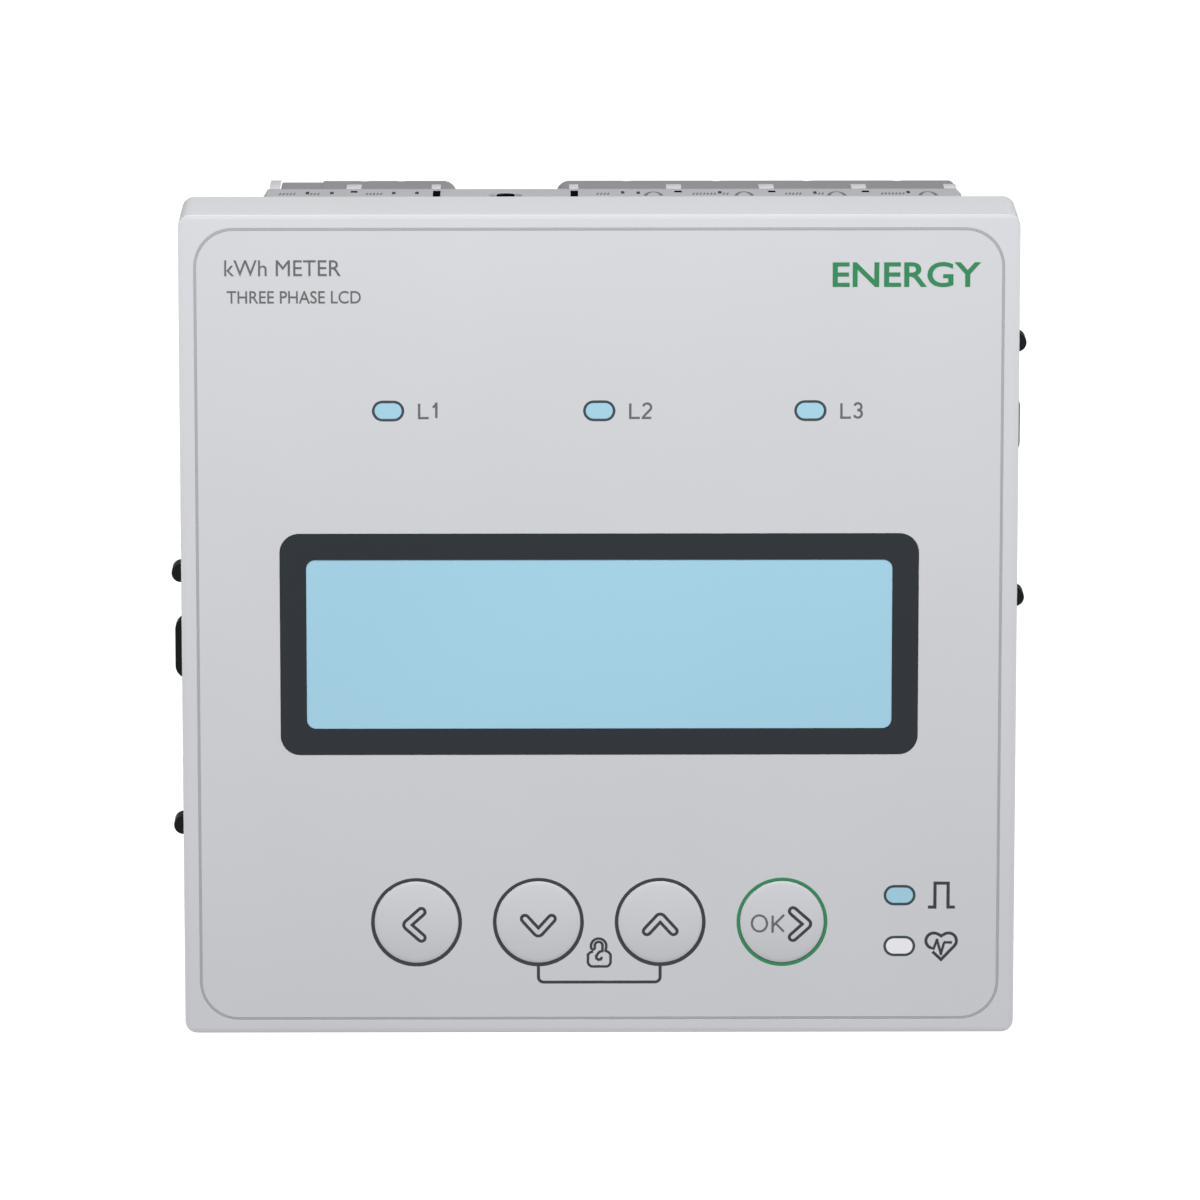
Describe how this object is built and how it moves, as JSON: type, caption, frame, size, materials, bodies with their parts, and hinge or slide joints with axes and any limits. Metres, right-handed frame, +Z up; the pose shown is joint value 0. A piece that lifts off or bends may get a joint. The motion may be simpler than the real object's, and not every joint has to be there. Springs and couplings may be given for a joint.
{
  "type": "panel-mounted electric energy meter",
  "caption": "Square flush panel-mounted energy meter with a wide blank display, round keys, indicator windows, pluggable rear terminals and side retainers.",
  "frame": {"origin": "centre of the panel cut-out, on the plane where the gasket's back face meets the panel", "axes": "+X to the right seen from the front, +Y back into the cabinet, +Z up"},
  "size_m": [0.102, 0.0583, 0.096],
  "materials": {
    "light_grey_plastic": "fine satin moulding texture",
    "overlay_film": "fine satin film",
    "key_plastic": "satin",
    "window_black": "smooth",
    "display_blue": "smooth, clear top",
    "display_cell": "clear",
    "diffuser_white": "milky",
    "tinned_metal": "tinned",
    "switch_black": "matt",
    "lamp_blue": "translucent",
    "lamp_white": "translucent",
    "chip_amber": "clear",
    "board_green": "solder mask",
    "brass": "machined",
    "zinc_steel": "zinc plated",
    "iron_core": "varnished laminations",
    "bobbin_yellow": "taped winding",
    "capacitor_sleeve": "sleeve",
    "fuse_body": "glazed",
    "varistor_blue": "dipped",
    "battery_steel": "polished",
    "copper": "tinned copper",
    "housing_grey": "fine matt moulding texture",
    "label_white": "printed film",
    "gasket_rubber": "closed cell",
    "retainer_black": "satin",
    "header_black": "matt",
    "plug_grey": "matt",
    "plug_green": "matt",
    "cover_grey": "satin"
  },
  "bodies": {
    "meter": {"front_bezel": "light_grey_plastic", "front_overlay": "overlay_film", "window_frame": "window_black", "display_lens": "display_blue", "display_glass": "display_cell", "light_guide": "diffuser_white", "display_holder": "diffuser_white", "display_pins": "tinned_metal", "key_switches": "switch_black", "snap_domes": "tinned_metal", "phase_light_pipes": "lamp_blue", "pulse_light_pipe": "lamp_blue", "heartbeat_light_pipe": "lamp_white", "indicator_chips": "chip_amber", "display_board": "board_green", "board_header": "switch_black", "board_standoffs": "brass", "board_screws": "zinc_steel", "main_board": "board_green", "main_chips": "switch_black", "transformer_core": "iron_core", "transformer_bobbin": "bobbin_yellow", "supply_capacitors": "capacitor_sleeve", "line_fuse": "fuse_body", "surge_varistor": "varistor_blue", "backup_battery": "battery_steel", "riser_header": "switch_black", "current_transformers": "capacitor_sleeve", "current_bars": "copper", "terminal_board": "board_green", "rear_housing": "housing_grey", "rear_cover": "housing_grey", "rear_cover_screws": "zinc_steel", "rating_label": "label_white", "panel_gasket": "gasket_rubber", "power_header": "header_black", "voltage_header": "header_black", "comm_header": "header_black", "header_pins": "brass", "current_terminal_block": "header_black", "current_terminal_screws": "zinc_steel", "hinge_pin": "zinc_steel"},
    "left_key": {"left_key": "key_plastic", "left_plunger": "switch_black"},
    "down_key": {"down_key": "key_plastic", "down_plunger": "switch_black"},
    "up_key": {"up_key": "key_plastic", "up_plunger": "switch_black"},
    "ok_key": {"ok_key": "key_plastic", "ok_plunger": "switch_black"},
    "left_retainer": {"left_retainer": "retainer_black"},
    "right_retainer": {"right_retainer": "retainer_black"},
    "power_plug": {"power_plug": "plug_grey", "power_plug_clamps": "zinc_steel"},
    "voltage_plug": {"voltage_plug": "plug_grey", "voltage_plug_clamps": "zinc_steel"},
    "comm_plug": {"comm_plug": "plug_green", "comm_plug_clamps": "zinc_steel"},
    "terminal_cover": {"terminal_cover": "cover_grey"}
  },
  "joints": [
    {"name": "left_key_press", "type": "slide", "parent": "meter", "child": "left_key", "axis": [0, 1, 0], "range_m": [0, 0.0005], "stiffness_N_per_m": 1500},
    {"name": "down_key_press", "type": "slide", "parent": "meter", "child": "down_key", "axis": [0, 1, 0], "range_m": [0, 0.0005], "stiffness_N_per_m": 1500},
    {"name": "up_key_press", "type": "slide", "parent": "meter", "child": "up_key", "axis": [0, 1, 0], "range_m": [0, 0.0005], "stiffness_N_per_m": 1500},
    {"name": "ok_key_press", "type": "slide", "parent": "meter", "child": "ok_key", "axis": [0, 1, 0], "range_m": [0, 0.0005], "stiffness_N_per_m": 1500},
    {"name": "left_retainer_slide", "type": "slide", "parent": "meter", "child": "left_retainer", "axis": [0, 1, 0], "range_m": [-0.009, 0.02]},
    {"name": "right_retainer_slide", "type": "slide", "parent": "meter", "child": "right_retainer", "axis": [0, 1, 0], "range_m": [-0.009, 0.02]},
    {"name": "power_plug_pull", "type": "slide", "parent": "meter", "child": "power_plug", "axis": [0, 1, 0], "range_m": [0, 0.015]},
    {"name": "voltage_plug_pull", "type": "slide", "parent": "meter", "child": "voltage_plug", "axis": [0, 1, 0], "range_m": [0, 0.015]},
    {"name": "comm_plug_pull", "type": "slide", "parent": "meter", "child": "comm_plug", "axis": [0, 1, 0], "range_m": [0, 0.015]},
    {"name": "terminal_cover_hinge", "type": "hinge", "parent": "meter", "child": "terminal_cover", "pos_m": [0, 0.04, -0.0216], "axis": [1, 0, 0], "range_deg": [0, 95]}
  ]
}
